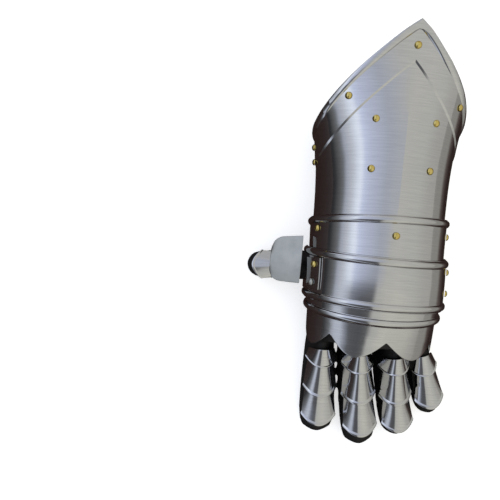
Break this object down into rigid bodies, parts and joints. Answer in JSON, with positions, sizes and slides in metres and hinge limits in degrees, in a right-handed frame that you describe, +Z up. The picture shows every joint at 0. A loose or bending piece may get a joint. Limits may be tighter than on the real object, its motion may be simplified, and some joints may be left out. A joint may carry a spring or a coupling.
{
  "type": "armoured gauntlet",
  "caption": "Left-hand steel gauntlet with a pointed flared cuff, articulated wrist bands, scalloped hand plate, finger scales and a black leather glove inside.",
  "frame": {"origin": "under the middle of the gauntlet, on the face its palm rests on", "axes": "+Z up away from the palm, +Y from the fingertips towards the cuff's pointed tip, thumb towards -X"},
  "size_m": [0.1654, 0.3076, 0.094],
  "materials": {
    "polished_steel": "polished with a fine brushed grain",
    "dull_steel": "satin",
    "rivet_brass": "polished",
    "glove_leather": "matt with a fine grain"
  },
  "bodies": {
    "root": {"cuff": "polished_steel", "cuff_inner_plate": "dull_steel", "wrist_lame_1": "polished_steel", "wrist_lame_2": "polished_steel", "metacarpal_lame": "polished_steel", "metacarpal_plate": "polished_steel", "thumb_hinge_plate": "polished_steel", "glove_hand": "glove_leather", "glove_index": "glove_leather", "index_scale_1": "polished_steel", "index_scale_2": "polished_steel", "index_scale_3": "polished_steel", "glove_middle": "glove_leather", "middle_scale_1": "polished_steel", "middle_scale_2": "polished_steel", "middle_scale_3": "polished_steel", "glove_ring": "glove_leather", "ring_scale_1": "polished_steel", "ring_scale_2": "polished_steel", "ring_scale_3": "polished_steel", "glove_little": "glove_leather", "little_scale_1": "polished_steel", "little_scale_2": "polished_steel", "glove_thumb": "glove_leather", "thumb_scale": "polished_steel", "thumb_plate": "dull_steel", "rivet_cuff_tip": "rivet_brass", "rivet_cuff_rim_left": "rivet_brass", "rivet_cuff_rim_right": "rivet_brass", "rivet_cuff_upper_left": "rivet_brass", "rivet_cuff_upper_right": "rivet_brass", "rivet_cuff_lower_left": "rivet_brass", "rivet_cuff_lower_right": "rivet_brass", "rivet_cuff_side_1": "rivet_brass", "rivet_cuff_side_2": "rivet_brass", "rivet_cuff_side_3": "rivet_brass", "rivet_cuff_side_4": "rivet_brass", "rivet_lame_1_centre": "rivet_brass", "rivet_lame_1_left": "rivet_brass", "rivet_lame_1_right": "rivet_brass", "rivet_lame_2_upper_right": "rivet_brass", "rivet_lame_2_lower_right": "rivet_brass", "rivet_hinge_upper": "rivet_brass", "rivet_hinge_lower": "dull_steel"}
  },
  "joints": []
}
